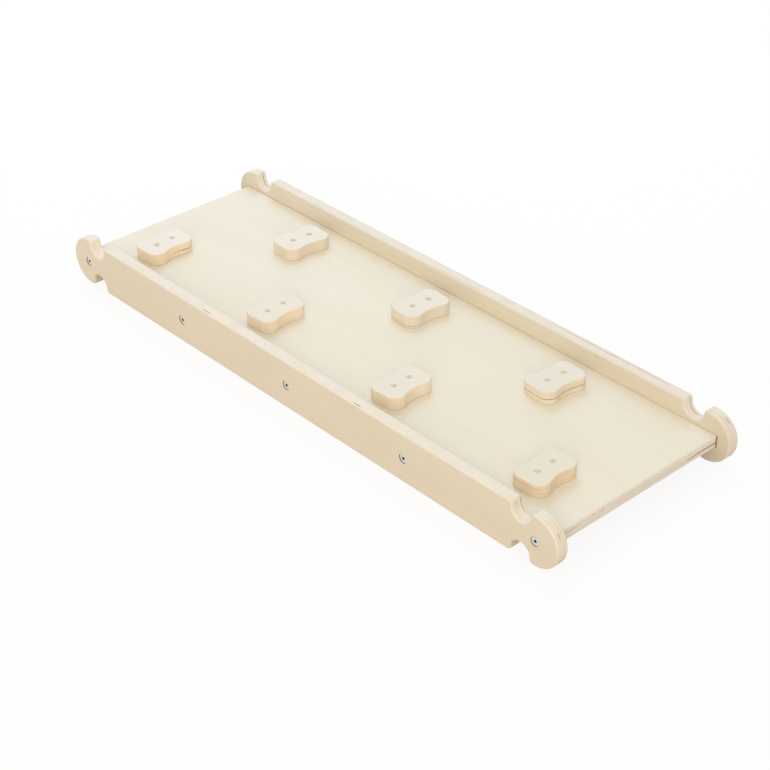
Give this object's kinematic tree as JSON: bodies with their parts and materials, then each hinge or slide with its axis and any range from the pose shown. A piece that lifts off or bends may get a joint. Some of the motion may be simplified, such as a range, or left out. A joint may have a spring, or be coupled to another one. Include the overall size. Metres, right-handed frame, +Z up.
{
  "type": "climbing ramp with slide",
  "caption": "Flat reversible plywood ramp for a children's climbing frame: a board between side rails with hooked ends, waisted footholds on one side and a smooth slide on the other.",
  "frame": {"origin": "on the floor under the middle of the ramp, at the level of the rails' lower edges", "axes": "+X along the ramp, +Y across it to the left rail, +Z up with the footholds on top"},
  "size_m": [0.94, 0.32, 0.07],
  "materials": {
    "rail_plywood": "clear matt lacquer on pale plywood",
    "board_plywood": "clear matt lacquer on pale plywood",
    "foothold_plywood": "clear matt lacquer on pale plywood",
    "zinc_steel": "bright zinc plate"
  },
  "bodies": {
    "root": {"ramp_board": "board_plywood", "right_side_rail": "rail_plywood", "left_side_rail": "rail_plywood", "foothold_1": "foothold_plywood", "foothold_2": "foothold_plywood", "foothold_3": "foothold_plywood", "foothold_4": "foothold_plywood", "foothold_5": "foothold_plywood", "foothold_6": "foothold_plywood", "foothold_7": "foothold_plywood", "right_rail_screw_1": "zinc_steel", "right_rail_screw_2": "zinc_steel", "right_rail_screw_3": "zinc_steel", "right_rail_screw_4": "zinc_steel", "right_rail_screw_5": "zinc_steel", "left_rail_screw_1": "zinc_steel", "left_rail_screw_2": "zinc_steel", "left_rail_screw_3": "zinc_steel", "left_rail_screw_4": "zinc_steel", "left_rail_screw_5": "zinc_steel", "foothold_1_screw_1": "zinc_steel", "foothold_1_screw_2": "zinc_steel", "foothold_2_screw_1": "zinc_steel", "foothold_2_screw_2": "zinc_steel", "foothold_3_screw_1": "zinc_steel", "foothold_3_screw_2": "zinc_steel", "foothold_4_screw_1": "zinc_steel", "foothold_4_screw_2": "zinc_steel", "foothold_5_screw_1": "zinc_steel", "foothold_5_screw_2": "zinc_steel", "foothold_6_screw_1": "zinc_steel", "foothold_6_screw_2": "zinc_steel", "foothold_7_screw_1": "zinc_steel", "foothold_7_screw_2": "zinc_steel"}
  },
  "joints": []
}
